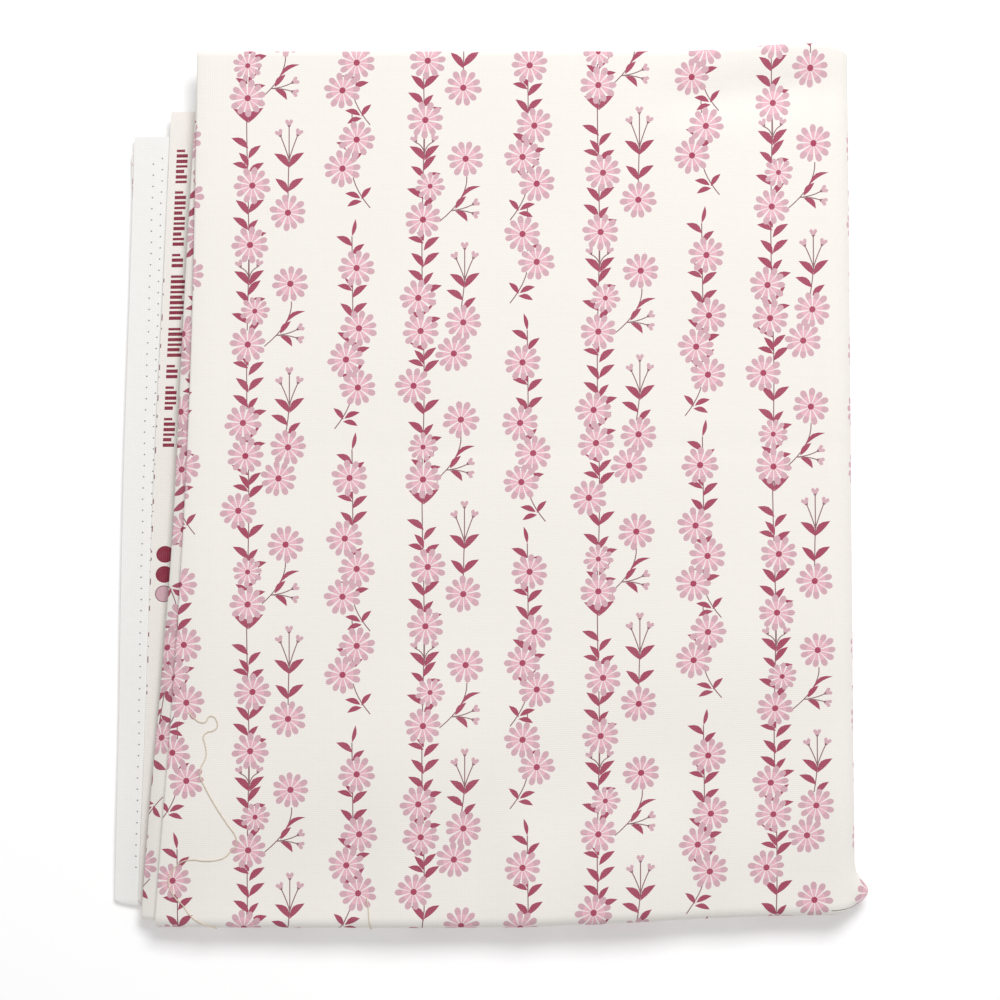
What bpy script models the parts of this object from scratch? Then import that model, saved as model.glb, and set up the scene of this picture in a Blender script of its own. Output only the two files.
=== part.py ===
"""A length of printed quilting cotton, folded by hand into a flat pack.

The cloth is doubled selvedge to selvedge, folded in half along its length twice, and
closed last like a book, which makes sixteen plies. The model divides it at its own
folds: upper leaves, lower plies, south and north end folds, and spine folds.

The origin is in the middle of the resting face. +X points to the spine, +Y to the cut
ends, +Z up, and every size is in metres. Plies are counted from 0 at the bottom.
"""

import math

import bmesh
import bpy
from mathutils import Vector

# Overall sizes.
SPINE_START_X = 0.1333  # where the flat plies end and the spine folds begin
LEAF_WIDTH = 0.2761  # from the spine's start to the left centre fold, at Y = 0
FOLDED_LENGTH = 0.3714  # from the round south fold to the north crease

# The cloth. A ply's solid is the cloth with the air that it holds.
CLOTH = 0.00105
PLY_GAP = 0.0003  # clear height between neighbouring plies
END_GAP = 0.0003  # clear length between a ply and the fold that it runs into
SPINE_LIFT = 0.00015  # the spine folds stand this far inside the plies' outer faces

PASSES = 4  # lengthwise layers in each half of the book
PLIES_PER_PASS = 2
ARC_STEPS = 12  # flat facets in each half-round fold

# Upper leaves from the top: width past LEAF_WIDTH, lean of the left edge, and how far
# short of the north crease a cut end stops, or None where the leaf turns at the crease.
UPPER_LEAVES = (
    (0.0000, 0.0507, None),
    (0.0029, 0.0703, None),
    (-0.0030, 0.0500, 0.0060),
    (-0.0050, 0.0450, 0.0090),
)

# Lower plies from the top, given in the same way. The first ends in the printed
# selvedge, and the second in the selvedge that shows its wrong side.
LOWER_PLIES = (
    (0.0081, 0.0426, 0.0211),
    (0.0212, 0.0264, 0.0317),
    (0.0172, -0.0200, 0.0393),
    (0.0090, 0.0000, 0.0360),
    (-0.0100, 0.0200, None),
    (-0.0140, 0.0200, None),
    (-0.0180, 0.0200, None),
    (-0.0200, 0.0200, None),
)

LOWER_SOUTH_INSET = 0.0060  # the lower half stops short of the upper half's south fold
LOWER_NORTH_INSET = 0.0040
LOWER_FOLD_PAST_LEAF = 0.0120  # how far the lower south folds run past LEAF_WIDTH
SPINE_SOUTH_INSET = 0.0015  # the spine folds close the corner almost to the south fold

HINGE_FROM_SPINE_START = 0.0030  # the book opens about this line, inside the spine

# Loose threads.
THREAD_DIAMETER = 0.0005
THREAD_GAP = 0.0003
THREAD_BEVEL_RESOLUTION = 2

# Worked out from the sizes above.
PITCH = CLOTH + PLY_GAP
HALF_PLIES = PASSES * PLIES_PER_PASS
PLIES = 2 * HALF_PLIES
STACK_HEIGHT = PLIES * PITCH - PLY_GAP
DOUBLE_CLOTH = PLIES_PER_PASS * PITCH - PLY_GAP
OUTER_FOLD_RADIUS = (HALF_PLIES * PITCH - PLY_GAP) / 2
INNER_FOLD_RADIUS = (HALF_PLIES / 2 * PITCH - PLY_GAP) / 2
SOUTH_Y = -FOLDED_LENGTH / 2
NORTH_Y = FOLDED_LENGTH / 2
HINGE = Vector((
    SPINE_START_X + HINGE_FROM_SPINE_START,
    0,
    (STACK_HEIGHT + THREAD_DIAMETER) / 2,
))

# The long thread lies on the top leaf and runs over its south fold. The short one
# starts beside that fold and hangs down its front. Hand-laid points are measured from
# the pack's left south corner, and heights from the resting face.
THREAD_CORNER = (SPINE_START_X - LEAF_WIDTH, SOUTH_Y)
LONG_THREAD = (
    (0.0057, 0.0919), (0.0084, 0.0892), (0.0111, 0.0876), (0.0132, 0.0878),
    (0.0146, 0.0900), (0.0165, 0.0901), (0.0179, 0.0881), (0.0181, 0.0857),
    (0.0165, 0.0842), (0.0138, 0.0834), (0.0122, 0.0817), (0.0127, 0.0792),
    (0.0134, 0.0758), (0.0132, 0.0728), (0.0111, 0.0682), (0.0108, 0.0650),
    (0.0130, 0.0601), (0.0170, 0.0528), (0.0221, 0.0448), (0.0259, 0.0388),
    (0.0259, 0.0355), (0.0234, 0.0327), (0.0211, 0.0305), (0.0185, 0.0295),
    (0.0126, 0.0290), (0.0075, 0.0295), (0.0034, 0.0287), (0.0006, 0.0267),
    (-0.0014, 0.0244), (-0.0030, 0.0205), (-0.0019, 0.0162), (0.0006, 0.0126),
    (0.0032, 0.0101), (0.0050, 0.0075), (0.0075, 0.0047), (0.0113, 0.0024),
)
LONG_THREAD_END = ((0.0152, 35), (0.0175, 14))  # X, and degrees up the fold's front
SHORT_THREAD = ((0.0810, 0.0135), (0.0816, 0.0105), (0.0819, 0.0074), (0.0820, 0.0053))
SHORT_THREAD_FRONT = ((0.0822, 67), (0.0825, 45), (0.0827, 22), (0.0829, 0))
SHORT_THREAD_TAIL = ((0.0831, 0.0120), (0.0834, 0.0080), (0.0832, 0.0040), (0.0830, 0.0013))
THREAD_POINTS = {"loose_thread_long": 78, "loose_thread_short": 24}

PARTS_COLLECTION = "folded_fabric_length"
PRINTED_COTTON = (0.93, 0.87, 0.84)
SHADED_COTTON = (0.86, 0.76, 0.74)
SELVEDGE_COTTON = (0.92, 0.91, 0.88)
FOLD_COTTON = (0.88, 0.80, 0.78)
THREAD_COTTON = (0.90, 0.84, 0.74)
COTTON_ROUGHNESS = 0.85


def clear_scene():
    """Remove every object that the scene starts with."""
    for item in list(bpy.data.objects):
        bpy.data.objects.remove(item, do_unlink=True)


def parts_collection():
    """Return a new collection for the pieces, linked to the scene."""
    group = bpy.data.collections.new(PARTS_COLLECTION)
    bpy.context.scene.collection.children.link(group)
    return group


def cotton(name, colour):
    """Return a new matt material for one piece."""
    material = bpy.data.materials.new(name)
    material.use_nodes = True
    shader = material.node_tree.nodes["Principled BSDF"]
    shader.inputs["Base Color"].default_value = (*colour, 1)
    shader.inputs["Roughness"].default_value = COTTON_ROUGHNESS
    shader.inputs["Metallic"].default_value = 0
    return material


def ply_middle(ply):
    """Height of the middle of a ply, counted from 0 at the bottom."""
    return ply * PITCH + CLOTH / 2


def half_round(radius, outwards, steps=ARC_STEPS):
    """Points of a half circle from its top to its bottom, bulging the given way."""
    angles = [math.pi * (0.5 - step / steps) for step in range(steps + 1)]
    return [
        (outwards * radius * math.cos(angle), radius * math.sin(angle))
        for angle in angles
    ]


def hang_on(piece, carrier):
    """Parent a piece to its carrier without moving it."""
    if carrier is not None:
        piece.parent = carrier
        piece.matrix_parent_inverse = carrier.matrix_world.inverted()


def swept_sheet(name, section, along, span, thickness, colour, place, lean=0.0):
    """Sweep an open section along X or Y and give it the cloth's thickness.

    The section holds (across, up) points. The lean slides its left edge in proportion
    to Y and leaves its right edge, at X = 0, where it is.
    """
    shape = bmesh.new()
    start, end = span
    if along == "Y":
        corners = [shape.verts.new((across, start, up)) for across, up in section]
        travel = Vector((0, end - start, 0))
    else:
        corners = [shape.verts.new((start, across, up)) for across, up in section]
        travel = Vector((end - start, 0, 0))
    chain = [shape.edges.new(pair) for pair in zip(corners, corners[1:])]
    grown = bmesh.ops.extrude_edge_only(shape, edges=chain)["geom"]
    far_side = [item for item in grown if isinstance(item, bmesh.types.BMVert)]
    bmesh.ops.translate(shape, verts=far_side, vec=travel)
    if lean:
        left = min(vertex.co.x for vertex in shape.verts)
        for vertex in shape.verts:
            vertex.co.x += lean * vertex.co.y * vertex.co.x / left
    bmesh.ops.recalc_face_normals(shape, faces=shape.faces)
    mesh = bpy.data.meshes.new(name)
    shape.to_mesh(mesh)
    shape.free()
    mesh.shade_smooth()
    mesh.materials.append(cotton(name, colour))
    piece = bpy.data.objects.new(name, mesh)
    piece.location = place
    wall = piece.modifiers.new("cloth", "SOLIDIFY")
    wall.thickness = thickness
    wall.offset = 0
    wall.use_even_offset = True
    bpy.data.collections[PARTS_COLLECTION].objects.link(piece)
    return piece


def add_upper_leaf(number, carrier):
    """Add two plies that are joined by the rounded centre fold at the left."""
    extra, lean, cut_inset = UPPER_LEAVES[number - 1]
    upper_ply = PLIES - 1 - PLIES_PER_PASS * (number - 1)
    radius = PITCH / 2
    fold_x = -(LEAF_WIDTH + extra) + radius + CLOTH / 2
    fold = [(fold_x + across, up) for across, up in half_round(radius, -1)]
    section = [(-END_GAP, radius)] + fold + [(-END_GAP, -radius)]
    crease_y = NORTH_Y - INNER_FOLD_RADIUS - END_GAP
    north_y = crease_y if cut_inset is None else NORTH_Y - cut_inset
    south_y = SOUTH_Y + OUTER_FOLD_RADIUS + END_GAP
    middle = (ply_middle(upper_ply) + ply_middle(upper_ply - 1)) / 2
    colour = PRINTED_COTTON if number == 1 else SHADED_COTTON
    name = f"upper_leaf_{number}"
    place = (SPINE_START_X, 0, middle)
    leaf = swept_sheet(name, section, "Y", (south_y, north_y), CLOTH, colour, place, lean)
    hang_on(leaf, carrier)


def add_lower_ply(number):
    """Add one flat ply whose left edge is a selvedge."""
    extra, lean, cut_inset = LOWER_PLIES[number - 1]
    section = [(-(LEAF_WIDTH + extra), 0), (-END_GAP, 0)]
    crease_y = NORTH_Y - LOWER_NORTH_INSET - INNER_FOLD_RADIUS - END_GAP
    north_y = crease_y if cut_inset is None else NORTH_Y - cut_inset
    south_y = SOUTH_Y + LOWER_SOUTH_INSET + OUTER_FOLD_RADIUS + END_GAP
    colour = SELVEDGE_COTTON if number <= 2 else SHADED_COTTON
    name = f"lower_ply_{number}"
    place = (SPINE_START_X, 0, ply_middle(HALF_PLIES - number))
    swept_sheet(name, section, "Y", (south_y, north_y), CLOTH, colour, place, lean)


def add_end_fold(name, radius, start_y, outwards, reach, middle, carrier=None):
    """Add the double cloth that turns from one pass to the next at an end."""
    section = half_round(radius - DOUBLE_CLOTH / 2, outwards)
    place = (SPINE_START_X, start_y, middle)
    span = (-reach, -END_GAP)
    fold = swept_sheet(name, section, "X", span, DOUBLE_CLOTH, FOLD_COTTON, place)
    hang_on(fold, carrier)


def add_south_folds(carrier):
    """Add an outer and an inner south fold to each half of the book."""
    upper_middle = STACK_HEIGHT - OUTER_FOLD_RADIUS
    upper_y = SOUTH_Y + OUTER_FOLD_RADIUS
    lower_y = upper_y + LOWER_SOUTH_INSET
    edges = [leaf[0] - leaf[1] * upper_y for leaf in UPPER_LEAVES[:2]]
    upper_reach = [LEAF_WIDTH + edge for edge in edges]
    lower_reach = LEAF_WIDTH + LOWER_FOLD_PAST_LEAF
    radii = (OUTER_FOLD_RADIUS, INNER_FOLD_RADIUS)
    for label, radius, reach in zip(("outer", "inner"), radii, upper_reach):
        name = f"upper_south_fold_{label}"
        add_end_fold(name, radius, upper_y, -1, reach, upper_middle, carrier)
        name = f"lower_south_fold_{label}"
        add_end_fold(name, radius, lower_y, -1, lower_reach, OUTER_FOLD_RADIUS)


def add_north_folds(carrier):
    """Add the crease that joins the two outermost passes of each half."""
    radius = INNER_FOLD_RADIUS
    upper_y = NORTH_Y - radius
    lower_y = upper_y - LOWER_NORTH_INSET
    upper_reach = LEAF_WIDTH + UPPER_LEAVES[0][0] - UPPER_LEAVES[0][1] * upper_y
    lower_reach = LEAF_WIDTH + LOWER_PLIES[-1][0] - LOWER_PLIES[-1][1] * lower_y
    upper_middle = STACK_HEIGHT - radius
    add_end_fold("upper_north_fold", radius, upper_y, 1, upper_reach, upper_middle, carrier)
    add_end_fold("lower_north_fold", radius, lower_y, 1, lower_reach, radius)


def add_spine_folds():
    """Add the nested turns that join each upper pass to its lower pass."""
    for number in range(1, PASSES + 1):
        plies_outside = PLIES_PER_PASS * (number - 1)
        outer = STACK_HEIGHT / 2 - plies_outside * PITCH - SPINE_LIFT
        thickness = DOUBLE_CLOTH - SPINE_LIFT
        section = half_round(outer - thickness / 2, 1)
        cut_inset = UPPER_LEAVES[number - 1][2]
        north_y = NORTH_Y - (cut_inset or INNER_FOLD_RADIUS)
        south_y = SOUTH_Y + SPINE_SOUTH_INSET
        place = (SPINE_START_X, 0, STACK_HEIGHT / 2)
        name = f"spine_fold_{number}"
        swept_sheet(name, section, "Y", (south_y, north_y), thickness, FOLD_COTTON, place)


def smooth_route(route, count):
    """Return evenly spaced points on a smooth curve through the route's own points."""
    padded = [2 * route[0] - route[1]] + route + [2 * route[-1] - route[-2]]
    fine = []
    fine_steps = 12
    for before, here, there, after in zip(padded, padded[1:], padded[2:], padded[3:]):
        for step in range(fine_steps):
            t = step / fine_steps
            across = here * 2 + (there - before) * t
            bend = (before * 2 - here * 5 + there * 4 - after) * t ** 2
            twist = (here * 3 - before - there * 3 + after) * t ** 3
            fine.append((across + bend + twist) / 2)
    fine.append(route[-1])
    lengths = [0.0]
    for here, there in zip(fine, fine[1:]):
        lengths.append(lengths[-1] + (there - here).length)
    even = []
    index = 0
    for number in range(count):
        target = lengths[-1] * number / (count - 1)
        while index < len(fine) - 2 and lengths[index + 1] < target:
            index += 1
        share = (target - lengths[index]) / (lengths[index + 1] - lengths[index])
        even.append(fine[index].lerp(fine[index + 1], share))
    return even


def thread_lift():
    """Clearance from the cloth's face to the thread's middle."""
    return THREAD_GAP + THREAD_DIAMETER / 2


def on_top(right, north):
    """A thread point on the top leaf, or over the round of its south fold."""
    flat_end = SOUTH_Y + OUTER_FOLD_RADIUS
    radius = OUTER_FOLD_RADIUS + thread_lift()
    x = THREAD_CORNER[0] + right
    y = THREAD_CORNER[1] + north
    past = max(0.0, flat_end - y)
    middle = STACK_HEIGHT - OUTER_FOLD_RADIUS
    return Vector((x, y, middle + math.sqrt(radius ** 2 - past ** 2)))


def on_front(right, degrees):
    """A thread point on the round of the upper south fold, at an angle up its front."""
    radius = OUTER_FOLD_RADIUS + thread_lift()
    angle = math.radians(degrees)
    y = SOUTH_Y + OUTER_FOLD_RADIUS - radius * math.cos(angle)
    z = STACK_HEIGHT - OUTER_FOLD_RADIUS + radius * math.sin(angle)
    return Vector((THREAD_CORNER[0] + right, y, z))


def below_front(right, height):
    """A thread point that hangs straight down from the front of that fold."""
    point = on_front(right, 0)
    point.z = height
    return point


def add_thread(name, route, carrier):
    """Add one loose thread as a round tube along its route."""
    points = smooth_route(route, THREAD_POINTS[name])
    line = bpy.data.curves.new(name, "CURVE")
    line.dimensions = "3D"
    line.bevel_depth = THREAD_DIAMETER / 2
    line.bevel_resolution = THREAD_BEVEL_RESOLUTION
    line.use_fill_caps = True
    line.render_resolution_u = 0
    spline = line.splines.new("POLY")
    spline.points.add(len(points) - 1)
    for knot, point in zip(spline.points, points):
        knot.co = (*point, 1)
    line.materials.append(cotton(name, THREAD_COTTON))
    thread = bpy.data.objects.new(name, line)
    bpy.data.collections[PARTS_COLLECTION].objects.link(thread)
    hang_on(thread, carrier)


def add_threads(carrier):
    """Add the two loose threads, which move with the upper half."""
    long_route = [on_top(right, north) for right, north in LONG_THREAD]
    long_route += [on_front(right, degrees) for right, degrees in LONG_THREAD_END]
    add_thread("loose_thread_long", long_route, carrier)
    short_route = [on_top(right, north) for right, north in SHORT_THREAD]
    short_route += [on_front(right, degrees) for right, degrees in SHORT_THREAD_FRONT]
    short_route += [below_front(right, height) for right, height in SHORT_THREAD_TAIL]
    add_thread("loose_thread_short", short_route, carrier)


def build():
    """Build the folded pack, with its upper half hung on the book fold's axis."""
    clear_scene()
    group = parts_collection()
    hinge = bpy.data.objects.new("book_fold_axis", None)
    hinge.location = HINGE
    group.objects.link(hinge)
    bpy.context.view_layer.update()
    for number in range(1, PASSES + 1):
        add_upper_leaf(number, hinge)
    for number in range(1, HALF_PLIES + 1):
        add_lower_ply(number)
    add_south_folds(hinge)
    add_north_folds(hinge)
    add_spine_folds()
    add_threads(hinge)


build()
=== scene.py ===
"""The finished cloth of a hand-folded length of printed quilting cotton.

It is drawn around a fixed frame that holds the plies, folds and threads. X runs across
the pack to the spine, Y along it to the cut ends, and Z up. One surface carries every
piece: a place on the flat cloth goes along the length folds, out to the spine, and
through the slumps and puckers that all plies share, so neighbours never cross.
"""

import functools
import math

import bpy
import numpy as np
from bpy.props import FloatProperty, FloatVectorProperty, PointerProperty
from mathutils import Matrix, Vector
from mathutils.geometry import delaunay_2d_cdt


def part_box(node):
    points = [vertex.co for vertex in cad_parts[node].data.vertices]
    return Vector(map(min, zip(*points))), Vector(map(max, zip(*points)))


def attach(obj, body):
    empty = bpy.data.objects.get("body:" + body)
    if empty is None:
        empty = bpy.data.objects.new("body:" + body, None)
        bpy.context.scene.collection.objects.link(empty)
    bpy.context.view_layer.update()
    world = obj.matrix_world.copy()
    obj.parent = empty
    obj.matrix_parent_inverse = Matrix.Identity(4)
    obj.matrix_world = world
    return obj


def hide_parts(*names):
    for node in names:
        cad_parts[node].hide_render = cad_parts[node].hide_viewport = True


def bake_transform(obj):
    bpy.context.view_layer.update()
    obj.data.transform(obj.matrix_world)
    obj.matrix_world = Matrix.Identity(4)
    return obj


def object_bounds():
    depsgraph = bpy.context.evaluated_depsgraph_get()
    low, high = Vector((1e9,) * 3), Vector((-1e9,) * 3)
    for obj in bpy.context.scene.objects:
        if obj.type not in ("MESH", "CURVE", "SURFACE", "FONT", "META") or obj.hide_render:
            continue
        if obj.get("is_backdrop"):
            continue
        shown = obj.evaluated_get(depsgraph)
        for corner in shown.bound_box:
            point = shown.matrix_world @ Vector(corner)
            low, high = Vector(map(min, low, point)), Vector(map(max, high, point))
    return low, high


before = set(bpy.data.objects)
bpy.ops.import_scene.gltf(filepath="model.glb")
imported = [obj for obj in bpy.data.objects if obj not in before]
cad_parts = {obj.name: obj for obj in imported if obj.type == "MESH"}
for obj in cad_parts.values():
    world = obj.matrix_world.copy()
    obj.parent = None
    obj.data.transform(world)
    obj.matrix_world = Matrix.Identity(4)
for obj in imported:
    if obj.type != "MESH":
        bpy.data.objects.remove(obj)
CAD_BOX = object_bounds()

bl_info = {
    "name": "Folded quilting cotton",
    "version": (1, 0, 0),
    "blender": (4, 5, 0),
    "location": "3D View > Sidebar > Folded cotton",
    "description": "A folded length of printed cotton, its selvedges and its loose threads",
    "category": "Object",
}

MM = 0.001

# ------------------------------------------------------------------ sizes of the frame

PASSES = 4
PLIES = 16
LEAF_SPAN = 0.276  # nominal flat width of a leaf; every piece's c is measured on it
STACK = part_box("upper_leaf_1")[1].z
SPINE_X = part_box("spine_fold_1")[0].x
OUTER_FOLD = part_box("upper_south_fold_outer")
INNER_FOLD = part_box("upper_south_fold_inner")
OUTER_RADIUS = (OUTER_FOLD[1].z - OUTER_FOLD[0].z) / 2
INNER_RADIUS = (INNER_FOLD[1].z - INNER_FOLD[0].z) / 2
SOUTH = {"upper": OUTER_FOLD[0].y, "lower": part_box("lower_south_fold_outer")[0].y}
NORTH = {"upper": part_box("upper_north_fold")[1].y, "lower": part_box("lower_north_fold")[1].y}


def edge_line(node):
    """Slope and middle X of a node's straight left edge, read from its two ends."""
    corners = np.array([vertex.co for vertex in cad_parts[node].data.vertices])
    ends = []
    for y in (corners[:, 1].min(), corners[:, 1].max()):
        ends.append((y, corners[np.abs(corners[:, 1] - y) < MM / 10, 0].min()))
    (south, south_x), (north, north_x) = ends
    slope = (north_x - south_x) / (north - south)
    return slope, south_x - slope * south


LEAF_EDGES = [edge_line(f"upper_leaf_{number}") for number in range(1, PASSES + 1)]
PLY_EDGES = [edge_line(f"lower_ply_{number}") for number in range(1, 2 * PASSES + 1)]


# --------------------------------------------------------------------------- settings


def colour(label, description, default):
    """A colour property for one ink or fibre, given as an sRGB hex value."""
    return FloatVectorProperty(
        name=label, description=description, subtype="COLOR", size=3, min=0, max=1,
        default=linear(default),
    )


def length(label, description, default):
    """A length property in metres."""
    return FloatProperty(
        name=label, description=description, subtype="DISTANCE", unit="LENGTH",
        default=default, min=0,
    )


def linear(hex_value):
    """Turn an sRGB hex value into linear red, green and blue."""
    parts = [int(hex_value[i:i + 2], 16) / 255 for i in (1, 3, 5)]
    return tuple(p / 12.92 if p <= 0.04045 else ((p + 0.055) / 1.055) ** 2.4 for p in parts)


class FOLDED_PG_cloth(bpy.types.PropertyGroup):
    thickness: length("Cloth thickness", "One layer of quilting cotton, fold crush included", 0.00045)
    thread_diameter: length("Thread diameter", "The loose sewing threads", 0.0005)
    weave_pitch: length("Weave pitch", "Distance from one drawn yarn to the next", 0.0009)
    slump: length("Edge slump", "How far the left edge sinks where plies below end early", 0.0066)


class FOLDED_PG_print(bpy.types.PropertyGroup):
    stripe_pitch: length("Stripe pitch", "Distance between like flower stripes", 0.074)
    repeat: length("Repeat", "Length of the print's repeat along the stripes", 0.2137)
    daisy: length("Daisy diameter", "Full size of the larger flower", 0.0156)
    small_daisy: length("Small daisy diameter", "Full size of the smaller flower", 0.0126)
    leaf: length("Leaf length", "Length of an ordinary leaf", 0.0082)
    stem: length("Stem width", "Width of a printed stem line", 0.00045)


class FOLDED_PG_colours(bpy.types.PropertyGroup):
    ground: colour("Ground", "Unprinted face of the cotton", "#FAF5EF")
    petal: colour("Petal", "Inner part of each petal", "#EDB9C6")
    petal_tip: colour("Petal tip", "Outer part of each petal", "#D8ADB8")
    centre: colour("Flower centre", "Disc in the middle of each flower", "#AE3A5C")
    leaf: colour("Leaf", "Leaves of the stripes", "#A9415F")
    stem: colour("Stem", "Thin stems and bud cups", "#8D5F68")
    selvedge: colour("Selvedge ink", "Marks along the printed selvedge", "#8C1236")
    wrong_side: colour("Wrong side", "Back of the cotton", "#FCFBF8")
    # The pin holes are not cut: their grey is painted shadow.
    pin_hole: colour("Pin hole", "Shadow inside the stenter pin holes", "#9E9A98")
    thread: colour("Thread", "Undyed loose thread", "#E6D9C6")


class FOLDED_PG_stage(bpy.types.PropertyGroup):
    camera_height: length("Camera height", "Lens above the top of the pack", 1.4)
    field: length("Field", "Width that the camera takes in at the top of the pack", 0.422)
    key_power: FloatProperty(name="Key power", description="Watts of the north softbox", default=15.5)
    sky: FloatProperty(name="Sky", description="Brightness of the even surrounding light", default=0.46)


# ------------------------------------------------------------------- the folded surface


def cloth():
    return bpy.context.scene.folded_cloth


def ease(value, start, end):
    """A smooth step from 0 at start to 1 at end."""
    share = np.clip((value - start) / (end - start), 0, 1)
    return share * share * (3 - 2 * share)


def hump(value, middle, reach):
    """A smooth bump of height 1 about its middle."""
    return np.exp(-((value - middle) / reach) ** 2)


# How the left edges of the plies wander, in metres.
EDGE_DRIFT = 0.025  # along the cloth, from a turn to where the next pass's edge holds
TOP_EDGE_BOW = 0.0042
SECOND_EDGE_BOW = 0.0025
SELVEDGES_OUT = 0.0015
SELVEDGE_BOW = 0.0010
PRINT_CREEP = 0.011  # of the print over the left fold, in the second and third passes

# How far the settled cloth moves, in metres.
ROLL_OVER = 0.0030
SOUTH_ROUND = 0.0014
SOUTH_BOW = 0.0052
PUCKER = 0.00060
SPINE_LEAN = 0.0016
CORNER_CURL = 0.0034
CORNER_DIP = 0.0030
OLD_CREASE = 0.00035
UNEVEN = 0.00016
UNEVEN_SOUTH = 0.00050
EAR = 0.0062


class Folds:
    """The lengthwise folds of one half of the book, measured along the cloth.

    A place v along the cloth equals Y on the outermost pass. It runs on past the north
    crease into the second and third passes, and back under the south fold into the last.
    """

    def __init__(self):
        self.pitch = (STACK - cloth().thickness) / (PLIES - 1)
        self.first = cloth().thickness / 2 + self.pitch / 2
        self.south = {half: SOUTH[half] + OUTER_RADIUS for half in SOUTH}
        self.north = {half: NORTH[half] - INNER_RADIUS for half in NORTH}
        self.length = self.north["upper"] - self.south["upper"]
        self.outer = (PASSES - 1) * self.pitch
        self.inner = self.pitch
        self.crease_start = self.north["upper"]
        self.crease_end = self.crease_start + math.pi * self.inner
        self.turn_start = self.crease_end + self.length
        self.turn_end = self.turn_start + math.pi * self.inner
        self.fold_start = self.south["upper"]
        self.fold_end = self.fold_start - math.pi * self.outer
        self.third_end = self.third_pass_end(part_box("upper_leaf_3")[1].y)
        self.last_end = self.last_pass_end(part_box("upper_leaf_4")[1].y)

    def depth(self, number):
        """Depth of a pass below the outer face, with the outermost pass as 0."""
        return self.first + 2 * number * self.pitch

    def along(self, v, half):
        """Y, depth, and the cloth's outward normal in Y and depth, at places v."""
        south, north = self.south[half], self.north[half]
        scale = (north - south) / self.length
        crease = (v - self.crease_start) / self.inner
        turn = (v - self.turn_start) / self.inner
        fold = (self.fold_start - v) / self.outer
        stretches = (
            (v > self.crease_start, north + self.inner * np.sin(crease),
             self.depth(0.5) - self.inner * np.cos(crease), np.sin(crease), -np.cos(crease)),
            (v > self.crease_end, north - (v - self.crease_end) * scale, self.depth(1), 0.0, 1.0),
            (v > self.turn_start, south - self.inner * np.sin(turn),
             self.depth(1.5) - self.inner * np.cos(turn), np.sin(turn), np.cos(turn)),
            (v > self.turn_end, south + (v - self.turn_end) * scale, self.depth(2), 0.0, -1.0),
            (v < self.fold_start, south - self.outer * np.sin(fold),
             self.depth(1.5) - self.outer * np.cos(fold), -np.sin(fold), -np.cos(fold)),
            (v < self.fold_end, south + (self.fold_end - v) * scale, self.depth(3), 0.0, 1.0),
        )
        found = [south + (v - self.fold_start) * scale, self.depth(0), 0.0, -1.0]
        for on, *values in stretches:
            found = [np.where(on, value, before) for value, before in zip(values, found)]
        return found

    def third_pass_end(self, y):
        """Place v of a cut end in the third pass."""
        return self.turn_end + (y - self.south["upper"])

    def last_pass_end(self, y):
        """Place v of a cut end in the last pass."""
        return self.fold_end - (y - self.south["upper"])

    def leaf_edge(self, v):
        """X of the upper half's left fold, which wanders from one pass to the next."""
        y = self.along(v, "upper")[0]
        first, second, third, last = [slope * y + middle for slope, middle in LEAF_EDGES]
        second = second + SECOND_EDGE_BOW * hump(y, -0.030, 0.090)
        x = first + top_edge_bow(y)
        for share, edge in (
            (ease(v, self.crease_start, self.crease_end + EDGE_DRIFT), second),
            (ease(v, self.turn_start, self.turn_end + EDGE_DRIFT), third),
            (ease(-v, -self.fold_start, -self.fold_end + EDGE_DRIFT), last),
        ):
            x = x + (edge - x) * share
        return x + cloth().thickness / 2

    def askew(self, v):
        """How far the print has crept over the left fold in the second and third passes."""
        return PRINT_CREEP * ease(v, self.crease_end + 0.04, self.turn_start - 0.10)

    def ply_edge(self, v, number, far_number):
        """X of a lower ply's left edge, and across the south fold that of the ply it joins."""
        y = self.along(v, "lower")[0]
        slope, middle = PLY_EDGES[number - 1]
        near = slope * y + middle
        if far_number == number:
            return near
        slope, middle = PLY_EDGES[far_number - 1]
        far = slope * y + middle
        near = near - SELVEDGES_OUT - SELVEDGE_BOW * hump(y, 0.0, 0.090)
        return near + (far - near) * ease(v, self.fold_end, self.fold_start)


def top_edge_bow(y):
    """How far the uppermost left fold bows in towards the spine."""
    share = np.clip((y - SOUTH["upper"]) / (NORTH["upper"] - SOUTH["upper"]), 0, 1)
    return TOP_EDGE_BOW * np.sin(math.pi * share)


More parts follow.
